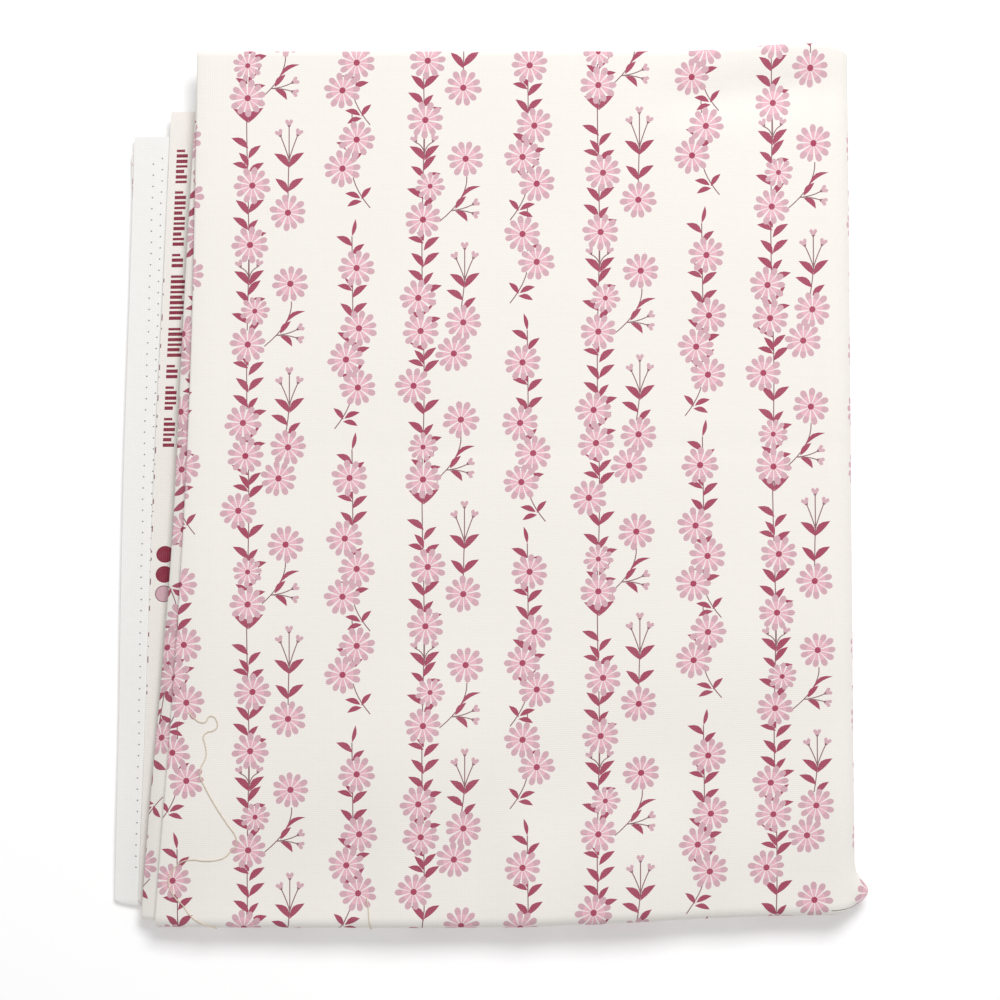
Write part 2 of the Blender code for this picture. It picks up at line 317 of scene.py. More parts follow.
def settle(place):
    """Slumps, puckers and soft edges that the whole pack shares, on (n, 3) points."""
    x, y, z = place.T
    share = z / STACK
    left = SPINE_X - LEAF_SPAN

    # The left edge sinks where the plies below it stop short.
    sink = ease(-x, -(left + 0.016), -(left - 0.030))
    dz = -sink * np.minimum(z / (STACK / 2), 1) * cloth().slump

    # The fold below the uppermost one rolls over where nothing covers it.
    slope, middle = LEAF_EDGES[0]
    past_edge = slope * y + middle + top_edge_bow(y) + 0.0005 - x
    dz -= ROLL_OVER * ease(past_edge, 0, 0.008) * ease(z, 0.0095, 0.017)

    # The round of the south fold starts early at the left, and the edge bows north
    # towards the spine.
    south = SOUTH["upper"]
    near_south = ease(-y, -(south + 0.055), -(south + 0.002))
    dz -= SOUTH_ROUND * share * near_south * (0.45 + 0.55 * ease(-x, 0.02, 0.13))
    dy = SOUTH_BOW * ease(x, -0.02, 0.13) * ease(-y, 0.03, 0.178)

    # Puckers run up from the south fold.
    wave = np.sin(x * 2 * math.pi / 0.047 + 1.1) + 0.6 * np.sin(x * 2 * math.pi / 0.029 + 0.4)
    dz += PUCKER * share * wave * ease(-y, 0.100, 0.172) * ease(x, -0.13, -0.02)

    # The spine leans a little, and the north crease lifts to a curl at its corner.
    dx = -SPINE_LEAN * (y / 0.186) * ease(x, 0.03, 0.140)
    corner = ease(x, 0.065, 0.128) * ease(y, 0.120, 0.186)
    dy += CORNER_CURL * corner * (1 - 0.35 * ease(x, 0.132, 0.144))
    dip = hump(y, 0.166 + 0.05 * (x - 0.1), 0.0085) * ease(x, 0.045, 0.100)
    dz -= CORNER_DIP * share * dip * (1 - 0.5 * ease(x, 0.120, 0.140))

    # A faint crosswise crease from an earlier folding, and a soft unevenness.
    dz -= OLD_CREASE * share * hump(y, 0.017 + 0.01 * x, 0.0030) * ease(x, -0.12, -0.02)
    roll = np.sin(x * 31 + y * 37 + 0.6) + np.sin(y * 73 - x * 22 + 2.1) + np.sin(x * 58 - y * 29)
    dz += share * (UNEVEN + UNEVEN_SOUTH * ease(-y, 0.02, 0.15)) * (roll - 1.2)
    dz += UNEVEN * np.sin(z * 1100 + x * 37 + y * 23) * share * (1 - share) * 4

    # A corner of the spine works loose beside the south fold and stands out as an ear.
    ear = ease(x, SPINE_X - 0.002, SPINE_X + 0.0095)
    ear *= hump(y, south + 0.0100, 0.0060) * hump(z, 0.0085, 0.0075)
    dx += EAR * ear
    return np.stack([x + dx, y + dy, z + dz], axis=1)


# ---------------------------------------------------------------------------- the print

# The last ink is the grey painted shadow inside the pin holes.
GROUND, PETAL, PETAL_TIP, CENTRE, LEAF, STEM, SELVEDGE, BACK, PIN_HOLE_SHADE = range(9)
STEM_LAYER, LEAF_LAYER, BUD_LAYER, DAISY_LAYER, MARK_LAYER = 1, 2, 3, 4, 6

PETALS = 11
PRINT_RISE = 0.037  # the print is a little askew to the web and climbs to the east


def turned(points, angle, at):
    """Turn points, given along +Y, clockwise by an angle in degrees and move them."""
    a = math.radians(angle)
    turn = np.array([[math.cos(a), -math.sin(a)], [math.sin(a), math.cos(a)]])
    return np.asarray(points, float) @ turn + np.asarray(at, float)


# Angle from the stem, lift along it and relative size of each leaf in a group.
LEAF_GROUPS = (
    ((-50, 1.8, 1.06), (36, 0.4, 0.86), (65, -3.2, 1.04)),
    ((-40, 0.2, 1.02), (50, 0.8, 1.06)),
    ((-68, 2.4, 0.88), (-33, 3.4, 0.90), (50, -0.6, 1.06)),
    ((-57, 3.2, 1.04), (44, -1.2, 0.94)),
    ((-46, -1.0, 0.92), (40, 2.2, 1.0), (70, -2.0, 0.94)),
)


class Print:
    """Shapes of the print on the flat cloth, in millimetres, each with ink and layer."""

    def __init__(self):
        self.shapes = []
        self.sizes = bpy.context.scene.folded_print
        self.order = 0

    def add(self, points, ink, layer):
        """Keep one outline, running anticlockwise as the division into triangles needs."""
        points = np.asarray(points, float)
        ahead = np.roll(points, -1, axis=0)
        if (points[:, 0] * ahead[:, 1] - ahead[:, 0] * points[:, 1]).sum() < 0:
            points = points[::-1]
        self.shapes.append((np.array(points), ink, layer))

    def disc(self, x, y, radius, ink, layer=MARK_LAYER, sides=20):
        """One round spot of ink."""
        ring = [k * math.tau / sides for k in range(sides)]
        self.add([(x + radius * math.cos(a), y + radius * math.sin(a)) for a in ring], ink, layer)

    def box(self, west, east, south, north, ink):
        """One mark with square corners."""
        self.add([(west, south), (east, south), (east, north), (west, north)], ink, MARK_LAYER)

    def daisy(self, x, y, small=False):
        """Round-ended petals around a disc."""
        radius = (self.sizes.small_daisy if small else self.sizes.daisy) / MM / 2
        half = radius * 0.170
        self.order += 1
        layer = DAISY_LAYER + self.order % 97 / 100
        stages = ((0.17, 0.20), (0.42, 0.56), (0.60, 0.82), (0.80, 1.0), (0.93, 0.74))
        sides = [(reach * radius, wide * half) for reach, wide in stages]
        whole = [(-w, r) for r, w in sides] + [(0, radius)] + [(w, r) for r, w in sides[::-1]]
        start = (x * 7 + y * 13) % 33
        for number in range(PETALS):
            angle = start + number * 360 / PETALS + 1.6 * math.sin(number * 2.4 + x)
            petal = np.array(whole) * (1 + 0.035 * math.sin(number * 3.7 + y))
            self.add(turned(petal, angle, (x, y)), PETAL, layer)
            self.add(turned(petal[2:-2], angle, (x, y)), PETAL_TIP, layer + 0.002)
        self.disc(x, y, radius * 0.78, GROUND, layer - 0.002, PETALS)
        self.disc(x, y, radius * 0.175, CENTRE, layer + 0.004, PETALS)

    def leaf(self, x, y, angle, size=1.0, bend=0.08, slim=1.0):
        """A pointed leaf that grows from (x, y), bowed a little to one side."""
        long = self.sizes.leaf / MM * size
        half = long * 0.168 * slim
        stages = ((0.14, 0.44), (0.32, 0.88), (0.52, 1.0), (0.72, 0.76), (0.88, 0.34))
        bow = [bend * long * math.sin(t * math.pi) for t, _ in stages]
        left = [(b - w * half, t * long) for b, (t, w) in zip(bow, stages)]
        right = [(b + w * half, t * long) for b, (t, w) in zip(bow, stages)]
        outline = [(0, 0)] + left + [(0, long)] + right[::-1]
        self.add(turned(outline, angle, (x, y)), LEAF, LEAF_LAYER)

    def stem(self, points):
        """A thin line through points, widened to both sides."""
        half = self.sizes.stem / MM / 2
        line = np.asarray(points, float)
        way = np.gradient(line, axis=0)
        way /= np.linalg.norm(way, axis=1)[:, None]
        side = np.stack([-way[:, 1], way[:, 0]], axis=1) * half
        self.add(np.concatenate([line + side, (line - side)[::-1]]), STEM, STEM_LAYER)

    def curve(self, start, pull, end, steps):
        """A stem along a quadratic curve."""
        t = np.linspace(0, 1, steps)[:, None]
        start, pull, end = (np.asarray(p, float) for p in (start, pull, end))
        self.stem((1 - t) ** 2 * start + 2 * t * (1 - t) * pull + t ** 2 * end)

    def bud(self, x, y, angle):
        """A half-open bud of two lobes in a small cup."""
        for side in (-1, 1):
            lobe = [(0, 0.6), (side * 1.0, 1.3), (side * 1.75, 2.5), (side * 1.2, 3.4),
                    (side * 0.4, 3.2), (0, 2.4)]
            self.add(turned(lobe, angle, (x, y)), PETAL_TIP, BUD_LAYER)
        cup = [(-0.9, 1.1), (0, -0.4), (0.9, 1.1), (0, 0.8)]
        self.add(turned(cup, angle, (x, y)), STEM, BUD_LAYER + 0.1)

    def bud_fork(self, x, y, rise):
        """Three buds on a fork, over a pair of broad leaves."""
        self.curve((x, y), (x, y + rise / 2), (x, y + rise + 4), 4)
        self.bud(x, y + rise + 4, 0)
        for side in (-1, 1):
            self.curve((x, y + 2.0), (x + side * 0.8, y + 5.5), (x + side * 3.4, y + rise), 6)
            self.bud(x + side * 3.4, y + rise, side * 24)
            self.leaf(x, y - 1.0, side * 46, 1.08, -side * 0.12)

    def leaf_group(self, x, y, kind, size=1.0):
        """Two or three leaves that leave the stem close together."""
        for angle, lift, scale in LEAF_GROUPS[kind % len(LEAF_GROUPS)]:
            bend = 0.10 if angle < 0 else -0.10
            self.leaf(x, y + lift, angle, size * scale, bend)

    def spray(self, x, y, foot_x, foot_y):
        """The long curved stalk of a side flower, with a thin leaf and a twig of two buds."""
        start, end = np.array([x, y]), np.array([foot_x, foot_y])
        pull = np.array([x + 0.5, (y + foot_y) / 2])
        self.curve(start, pull, end, 9)
        knee = 0.25 * start + 0.5 * pull + 0.25 * end
        self.leaf(knee[0], knee[1], 60, 1.2, -0.16, 0.55)
        fork = 0.06 * start + 0.36 * pull + 0.58 * end
        self.leaf(fork[0] + 1.6, fork[1] + 0.6, 42, 0.85, -0.08)
        self.leaf(fork[0] + 1.6, fork[1] - 0.4, 132, 0.85, -0.16)
        for tilt, right, up in ((62, 8.6, 2.0), (112, 8.4, -1.3)):
            self.curve(fork, fork + np.array([4.6, 0.1]), fork + np.array([right, up]), 5)
            self.bud(fork[0] + right, fork[1] + up, tilt)

    def twig_end(self, x, y, side):
        """The curled foot of a sprig, with three leaves."""
        self.curve((x, y + 13), (x + side * 1.2, y + 6), (x + side * 7.5, y - 1.5), 7)
        for right, up, angle, size, bend in (
            (3.8, 2.2, 40, 0.80, -0.08), (3.4, 2.6, -70, 0.85, 0.10), (4.0, 1.4, -108, 0.80, 0.10),
        ):
            self.leaf(x + side * right, y + up, side * angle, size, side * bend)

    def garland(self, x, base):
        """One repeat of the full stripe: a leafy stem, with flowers to its right."""
        pitch = self.sizes.repeat / MM
        self.stem([(x + 0.5 * math.sin(k), base + pitch * k / 12) for k in range(13)])
        ups = (7, 17, 35, 41, 57, 71, 79, 87, 105, 118, 146, 154, 171, 179, 208)
        for kind, up in enumerate(ups):
            self.leaf_group(x + 0.3, base + up - 3.5, kind)
        self.bud_fork(x + 0.3, base + 190.5, 6.5)
        self.bud_fork(x + 0.6, base + 122.0, 6.5)
        self.curve((x + 17, base + 151), (x + 17, base + 165), (x + 17.6, base + 176), 4)
        self.leaf_group(x + 17, base + 159, 1)
        self.bud_fork(x + 17.5, base + 171, 12.0)
        self.curve((x + 15, base + 52), (x + 17, base + 62), (x + 17.6, base + 70), 4)
        self.leaf_group(x + 17, base + 58, 3)
        self.bud_fork(x + 17.6, base + 67.5, 11.0)
        self.spray(x + 18.5, base + 113.5, x + 7.0, base + 95.0)
        self.spray(x + 16.0, base + 4.0, x + 5.0, base - 14.5)
        for right, up, small in (
            (0, 0, True), (16, 11, False), (-4, 26, False), (13, 39, False), (-1, 49, False),
            (17, 52, False), (-2, 63, False), (0, 96, False), (3, 110, True),
            (18, 121, False), (1, 138, False), (17, 151, False), (2, 163, False),
            (0, 200, False),
        ):
            self.daisy(x + right, base + up, small)

    def sprigs(self, x, base, side):
        """One repeat of the narrow stripe: three sprigs that end in curled feet."""
        for foot, tip, foot_side in ((5, 52, 1), (40, 123, 1), (126, 213, -1)):
            foot_side *= side
            top = base + tip - 7.5
            self.stem([(x, base + foot + 12), (x + 0.4, (base + foot + 12 + top) / 2), (x, top)])
            self.twig_end(x + 0.2, base + foot, foot_side)
            if tip > 60:
                self.leaf(x, top, side * 12, 0.9, 0.04, 0.7)
        for kind, up in enumerate((28, 60, 72, 87, 95, 110, 148, 162, 175, 184, 202)):
            self.leaf_group(x + 0.2, base + up - 4.0, kind + 3, 0.96)
        for right, up in ((-4, 20.5), (2, 32.5), (-4, 53.5), (2, 65), (-3, 78), (-1, 103.5),
                          (2.5, 141.5), (-2.5, 153.5), (3, 166.5), (2, 192)):
            self.daisy(x + side * right, base + up)

    def stripes(self, west, east, south, north):
        """Every stripe that reaches a stretch of the cloth, in millimetres."""
        pitch = self.sizes.stripe_pitch / MM
        repeat = self.sizes.repeat / MM
        rows = (
            (self.garland, -112.0, -34.6, ()), (self.sprigs, -68.0, -100.0, (1,)),
            (self.garland, -38.0, 15.4, ()), (self.sprigs, 6.0, -142.4, (-1,)),
        )
        for draw, first, base, extra in rows:
            for across in range(-4, 5):
                x = first + across * 2 * pitch
                if x < west - 28 or x > east + 28:
                    continue
                low = math.floor((south - 30 - base) / repeat) - 1
                high = math.ceil((north + 30 - base) / repeat) + 1
                for up in range(low, high):
                    draw(x, base + up * repeat, *extra)
        for points, _, _ in self.shapes:
            points[:, 1] += PRINT_RISE * (points[:, 0] + 112)


# ----------------------------------------------------------------------- cloth meshes


GRID_STEP = 5 * MM
TILE_LINES = 20  # grid lines to a tile; the division gets slow with many outlines at once
TILE_MARGIN = 0.01  # in millimetres; a tile takes the outlines that come this close to it
JOIN = 0.0005  # in millimetres; points from two tiles that lie closer than this are one


def spaced(start, end, step):
    """Evenly spaced values from start to end, both included."""
    return np.linspace(start, end, max(2, int(round(abs(end - start) / step)) + 1))


def arc_lines(folds, v0, v1):
    """The values of v where a piece's length folds need mesh edges, and its grid."""
    arcs = (
        (folds.fold_end, folds.fold_start, 18),
        (folds.crease_start, folds.crease_end, 12),
        (folds.turn_start, folds.turn_end, 10),
    )
    near = 1e-9
    hard = []
    for start, end, steps in arcs:
        hard += [v for v in np.linspace(start, end, steps + 1) if v0 - near <= v <= v1 + near]
    marks = sorted(set([v0, v1] + [a for arc in arcs for a in arc[:2] if v0 < a < v1]))
    grid = []
    for start, end in zip(marks, marks[1:]):
        if not any(a[0] - near <= start and end <= a[1] + near for a in arcs):
            grid += list(spaced(start, end, GRID_STEP))
    return np.array(sorted(set(np.round(hard, 9)))), np.array(sorted(set(np.round(grid + hard, 9))))


def extents(shapes):
    """The lowest and the highest corner of each shape."""
    lows = np.array([shape[0].min(0) for shape in shapes]).reshape(-1, 2)
    highs = np.array([shape[0].max(0) for shape in shapes]).reshape(-1, 2)
    return lows, highs


def partition(c_grid, v_grid, c_hard, v_hard, shapes):
    """Divide a rectangle into triangles along the print's outlines, tile by tile.

    Returns (points in millimetres, triangles, ink of each triangle).
    """
    c_grid, v_grid = np.asarray(c_grid) / MM, np.asarray(v_grid) / MM
    c_hard, v_hard = np.asarray(c_hard) / MM, np.asarray(v_hard) / MM
    lows, highs = extents(shapes)
    index, places, triangles, inks = {}, [], [], []
    for c_cells in runs(c_grid):
        for v_cells in runs(v_grid):
            low = np.array([c_cells[0], v_cells[0]]) - TILE_MARGIN
            high = np.array([c_cells[-1], v_cells[-1]]) + TILE_MARGIN
            near = np.nonzero((highs > low).all(1) & (lows < high).all(1))[0]
            inside = [shapes[number] for number in near]
            found, cells, found_inks = tile(c_cells, v_cells, c_hard, v_hard, inside)
            numbers = np.array([join_point(index, places, point) for point in found.tolist()])
            triangles.append(numbers[cells])
            inks.append(found_inks)
    triangles, inks = np.concatenate(triangles), np.concatenate(inks)
    sound = (triangles != np.roll(triangles, 1, axis=1)).all(1)
    used, numbers = np.unique(triangles[sound], return_inverse=True)
    return np.array(places)[used], numbers.reshape(-1, 3), inks[sound]


def join_point(index, places, point):
    """The number of a point, which shares a number with any other within JOIN of it."""
    column, row = math.floor(point[0] / JOIN), math.floor(point[1] / JOIN)
    for key in ((column + a, row + b) for a in (0, -1, 1) for b in (0, -1, 1)):
        number = index.get(key)
        if number is not None and math.dist(places[number], point) < JOIN:
            return number
    index[column, row] = len(places)
    places.append(point)
    return len(places) - 1


def runs(grid):
    """Cut a line of grid values into overlapping runs of at most TILE_LINES steps."""
    count = max(1, math.ceil((len(grid) - 1) / TILE_LINES))
    cuts = np.linspace(0, len(grid) - 1, count + 1).round().astype(int)
    return [grid[a:b + 1] for a, b in zip(cuts, cuts[1:])]


def tile(c_cells, v_cells, c_hard, v_hard, shapes):
    """Divide one tile. Returns its points, triangles and their inks."""
    west, east, south, north = c_cells[0], c_cells[-1], v_cells[0], v_cells[-1]
    points = [(c, v) for c in c_cells for v in v_cells]
    edges = []

    def line(a, b):
        edges.append((len(points), len(points) + 1))
        points.extend((a, b))

    for c in sorted({west, east} | {value for value in c_hard if west < value < east}):
        line((c, south), (c, north))
    for v in sorted({south, north} | {value for value in v_hard if south < value < north}):
        line((west, v), (east, v))
    faces = []
    for outline, _, _ in shapes:
        first = len(points)
        points.extend(map(tuple, outline))
        faces.append(list(range(first, first + len(outline))))
    result = delaunay_2d_cdt([Vector(p) for p in points], edges, faces, 0, 1e-5, True)
    found = np.array([tuple(p) for p in result[0]])
    cells = np.array(result[2])
    middle = found[cells].mean(1)
    within = (
        (middle[:, 0] > west) & (middle[:, 0] < east)
        & (middle[:, 1] > south) & (middle[:, 1] < north)
    )
    inks = np.full(len(cells), GROUND)
    for number in np.nonzero(within)[0]:
        best = 0
        for source in result[5][number]:
            if shapes[source][2] > best:
                inks[number], best = shapes[source][1], shapes[source][2]
    return found, cells[within], inks[within]


def border(points, c_ends, v_ends):
    """The points round a rectangle's border, anticlockwise from the south-west.

    Returns their indices, and how far round each one is.
    """
    west, east = c_ends[0] / MM, c_ends[1] / MM
    south, north = v_ends[0] / MM, v_ends[1] / MM
    near = 1e-3
    c, v = points[:, 0], points[:, 1]
    wide, tall = east - west, north - south
    sides = (
        (np.abs(v - south) < near, c - west, 0), (np.abs(c - east) < near, v - south, wide),
        (np.abs(v - north) < near, east - c, wide + tall),
        (np.abs(c - west) < near, north - v, 2 * wide + tall),
    )
    ring, reach = [], []
    for (on, key, before), run in zip(sides, (wide, tall, wide, tall)):
        side = np.nonzero(on & (key < run - near))[0]
        side = side[np.argsort(key[side])]
        ring += list(side)
        reach += list(before + key[side])
    return ring, reach


def rim_triangles(face_ring, face_reach, back_ring, back_reach, around):
    """Join two rings of border points that run side by side."""
    faces = []
    i = j = 0
    face_ring, back_ring = face_ring + face_ring[:1], back_ring + back_ring[:1]
    face_reach, back_reach = face_reach + [around], back_reach + [around]
    while i < len(face_ring) - 1 or j < len(back_ring) - 1:
        last = i == len(face_ring) - 1
        step_back = last or (j < len(back_ring) - 1 and back_reach[j + 1] < face_reach[i + 1])
        if step_back:
            faces.append((face_ring[i], back_ring[j], back_ring[j + 1]))
            j += 1
        else:
            faces.append((face_ring[i], back_ring[j], face_ring[i + 1]))
            i += 1
    return np.array(faces)


def cloth_mesh(name, surface, to_cloth, grids, shapes, flip, wrong_side_shapes=()):
    """Build one piece: its printed face, its wrong side, and the narrow edge between.

    surface maps (c, v) in metres to places, and to_cloth gives the flat cloth's X.
    grids holds the lines of c and v, and then those that must be mesh edges.
    """
    face_points, face_triangles, inks = partition(*grids, shapes)
    back_points, back_triangles, back_inks = partition(*grids, wrong_side_shapes)
    back_inks = np.where(back_inks == GROUND, BACK, back_inks)
    half = cloth().thickness / 2 * (-1 if flip else 1)
    front = lifted(surface, face_points * MM, half)
    rear = lifted(surface, back_points * MM, -half)
    c_ends, v_ends = grids[0][[0, -1]], grids[1][[0, -1]]
    ring, reach = border(face_points, c_ends, v_ends)
    back_ring, back_reach = border(back_points, c_ends, v_ends)
    offset = len(front)
    around = 2 * (c_ends[1] - c_ends[0] + v_ends[1] - v_ends[0]) / MM
    back_ring = [number + offset for number in back_ring]
    rim = rim_triangles(ring, reach, back_ring, back_reach, around)
    faces = np.concatenate([face_triangles, back_triangles[:, ::-1] + offset, rim])
    if flip:
        faces = faces[:, ::-1]
    mesh = bpy.data.meshes.new(name)
    mesh.from_pydata(np.concatenate([front, rear]).tolist(), [], faces.tolist())
    slots = np.concatenate([inks, back_inks, np.full(len(rim), GROUND)])
    mesh.polygons.foreach_set("material_index", slots.astype(np.int32))
    flat = np.concatenate([face_points, back_points]) * MM
    flat[:, 0] = to_cloth(flat[:, 0], flat[:, 1])
    loops = np.empty(len(mesh.loops), np.int32)
    mesh.loops.foreach_get("vertex_index", loops)
    uv = mesh.uv_layers.new(name="Cloth")
    uv.data.foreach_set("uv", flat[loops].ravel().astype(np.float32))
    mesh.shade_smooth()
    mesh.set_sharp_from_angle(angle=math.radians(55))
    mesh.validate()
    for finish in finishes():
        mesh.materials.append(finish)
    piece = bpy.data.objects.new(name, mesh)
    bpy.context.scene.collection.objects.link(piece)
    return piece


def normals(surface, flat):
    """The surface's own normals at places (c, v)."""
    step = 0.02 * MM
    c, v = flat[:, 0], flat[:, 1]
    across = surface(c + step, v) - surface(c - step, v)
    along = surface(c, v + step) - surface(c, v - step)
    normal = np.cross(across, along)
    return normal / np.linalg.norm(normal, axis=1)[:, None]


def lifted(surface, flat, height):
    """Places at a height off the surface."""
    return surface(flat[:, 0], flat[:, 1]) + normals(surface, flat) * height


# ------------------------------------------------------------------- kinds of surface


def leaf_surface(folds):
    """Two plies that the rounded left fold joins. c is 0 on the fold."""
    r = folds.pitch / 2
    bend = math.pi * r / 2

    def surface(c, v):
        left = folds.leaf_edge(v)
        share = np.clip((np.abs(c) - bend) / LEAF_SPAN, 0, 1.01)
        angle = np.clip(c / r, -math.pi / 2, math.pi / 2)
        flat = np.abs(c) > bend
        x = np.where(flat, left + r + share * (SPINE_X - left - r), left + r - r * np.cos(angle))
        y, depth, ny, nd = folds.along(v, "upper")
        height = r * np.sin(angle)
        return settle(np.stack([x, y + height * ny, STACK - depth - height * nd], axis=1))

    def to_cloth(c, v):
        left = folds.leaf_edge(v)
        share = (np.abs(c) - bend) / LEAF_SPAN
        flat = left + r + share * (SPINE_X - left - r)
        line = left + r - bend
        x = np.where(c > bend, flat, np.where(c < -bend, 2 * line - flat, line + c))
        return x + folds.askew(v)

    def from_cloth(x, v):
        left = folds.leaf_edge(v)
        line = left + r - bend
        c = x - folds.askew(v) - line
        wide = bend + (np.abs(c) - bend) * LEAF_SPAN / (SPINE_X - left - r)
        return np.where(np.abs(c) > bend, np.sign(c) * wide, c)

    return surface, to_cloth, from_cloth


def ply_surface(folds, number, far_number, side):
    """One lower ply. c is 0 on its left edge, and side is 1 on the outer layer."""
    def to_cloth(c, v):
        left = folds.ply_edge(v, number, far_number)
        return left + c / LEAF_SPAN * (SPINE_X - left)

    def from_cloth(x, v):
        left = folds.ply_edge(v, number, far_number)
        return (x - left) * LEAF_SPAN / (SPINE_X - left)

    def surface(c, v):
        y, depth, ny, nd = folds.along(v, "lower")
        height = side * folds.pitch / 2
        return settle(np.stack([to_cloth(c, v), y + height * ny, depth + height * nd], axis=1))

    return surface, to_cloth, from_cloth


def spine_surface(folds, side):
    """One layer of the turn round the spine. c is 0 at the upper half."""
    span = math.pi * STACK / 2

    def surface(c, v):
        turn = c / span * math.pi
        upper, depth, ny, nd = folds.along(v, "upper")
        lower = folds.along(v, "lower")[0]
        height = side * folds.pitch / 2
        y = upper + (lower - upper) * ease(turn, 0, math.pi) + height * ny
        radius = STACK / 2 - depth - height * nd
        x = SPINE_X + radius * np.sin(turn)
        z = STACK / 2 + radius * np.cos(turn)
        return settle(np.stack([x, y, z], axis=1))

    def to_cloth(c, v):
        return SPINE_X + c

    def from_cloth(x, v):
        return x - SPINE_X

    return surface, to_cloth, from_cloth


def printed(from_cloth, c_ends, v_ends):
    """The print's shapes in a piece's own (c, v), in millimetres."""
    south, north = v_ends[0] / MM, v_ends[1] / MM
    shapes, lows, highs = whole_print()
    reached = np.nonzero((highs[:, 1] > south) & (lows[:, 1] < north))[0]
    chosen = [shapes[number] for number in reached]
    counts = np.cumsum([len(shape[0]) for shape in chosen])[:-1]
    points = np.concatenate([shape[0] for shape in chosen])
    points[:, 0] = from_cloth(points[:, 0] * MM, points[:, 1] * MM) / MM
    west, east = c_ends[0] / MM, c_ends[1] / MM
    return [
        (outline, ink, layer)
        for outline, (_, ink, layer) in zip(np.split(points, counts), chosen)
        if outline[:, 0].max() > west and outline[:, 0].min() < east
    ]


@functools.cache
def whole_print():
    """The print's shapes over the whole cloth, drawn once, and their extents."""
    design = Print()
    design.stripes(-440, 180, -640, 1000)
    return design.shapes, *extents(design.shapes)


SELVEDGE_MARGIN = 22.0  # blank width inside the selvedge, in millimetres


def selvedge_marks():
    """Plain groups of ticks, three round colour tests, and short dashes on the edge."""
    design = Print()
    y = 154.0
    for number, count in enumerate((7, 11, 3, 9, 6, 3, 5, 6)):
        tall = 7.0 if number in (3, 4) else 4.8
        for tick in range(count):
            wide = 1.5 if tick % 3 else 1.1
            east = 3.2 + tall * (1.0 if tick % 4 else 0.74)
            design.box(3.2, east, y - wide, y, SELVEDGE)
            y -= wide + 0.9
        y -= 2.6
    for at, ink in ((-23.2, SELVEDGE), (-32.0, SELVEDGE), (-40.5, STEM)):
        design.disc(6.0, at, 3.7, ink)
    design.disc(6.0, -40.5, 3.3, PETAL_TIP, MARK_LAYER + 0.1)
    for number in range(26):
        low = 96.0 - number * 7.3 + 2.2 * math.sin(number * 2.3)
        design.box(0.05, 0.5, low, low + 1.6 + 1.2 * math.sin(number * 3.9), STEM)
    return design.shapes


def pin_holes():
    """Two rows of holes where the finishing machine's pins held the cloth, drawn as grey discs of
    painted shadow, and some ink.
    """
    design = Print()
    for x, first in ((8.0, 148.0), (11.6, 150.4)):
        for number in range(64):
            at = (x + 0.15 * math.sin(number), first - number * 4.9)
            # Each hole is a small grey disc of painted shadow.
            design.disc(*at, 0.36, PIN_HOLE_SHADE, sides=7)
    for y in (145.5, 142.6):
        design.disc(15.6, y, 1.5, PETAL_TIP, sides=12)
    return design.shapes


def edge_flower():
    """The flower that the ply below shows beyond the selvedge above it."""
    design = Print()
    design.daisy(4.2, 135.0)
    return design.shapes


# --------------------------------------------------------------------------- materials


def new_material(name):
    """A new material and its shader."""
    material = bpy.data.materials.new(name)
    material.use_nodes = True
    return material, material.node_tree.nodes["Principled BSDF"]


def plug(material, node, inputs):
    """Set a node's inputs, each to a value or to another node's output."""
    for key, value in inputs.items():
        if isinstance(value, bpy.types.NodeSocket):
            material.node_tree.links.new(value, node.inputs[key])
        else:
            node.inputs[key].default_value = value


def add_node(material, kind, inputs, **settings):
    """Add one node with its inputs and settings."""
    node = material.node_tree.nodes.new(kind)
    for key, value in settings.items():
        setattr(node, key, value)
    plug(material, node, inputs)
    return node


